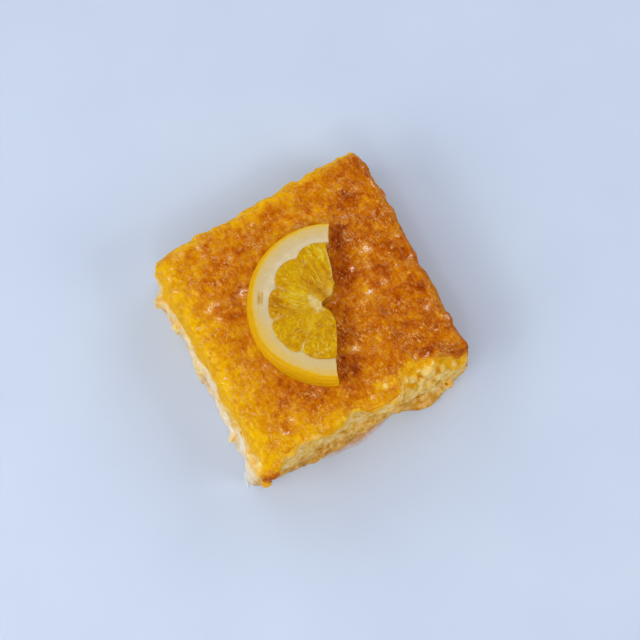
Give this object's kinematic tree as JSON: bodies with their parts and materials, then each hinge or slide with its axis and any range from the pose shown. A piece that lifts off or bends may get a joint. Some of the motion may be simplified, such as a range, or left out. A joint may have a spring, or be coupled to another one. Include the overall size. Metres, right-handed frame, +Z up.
{
  "type": "square cake piece",
  "caption": "Square piece of syrup-soaked citrus cake with a browned, bumpy crust, crumbly cut sides, one torn edge and a half slice of fruit lying on top.",
  "frame": {"origin": "under the middle of the whole's plan, on the flat foot of the cake", "axes": "+Z up from the foot through the crust, -Y towards the cut side with the torn crust, -X towards the other cut side that shows in the picture"},
  "size_m": [0.1054, 0.1046, 0.043],
  "materials": {
    "cake": "moist, with a glossy syrup glaze on the crust",
    "orange": "wet cut fruit"
  },
  "bodies": {
    "root": {"cake": "cake", "orange_half_slice": "orange"}
  },
  "joints": []
}
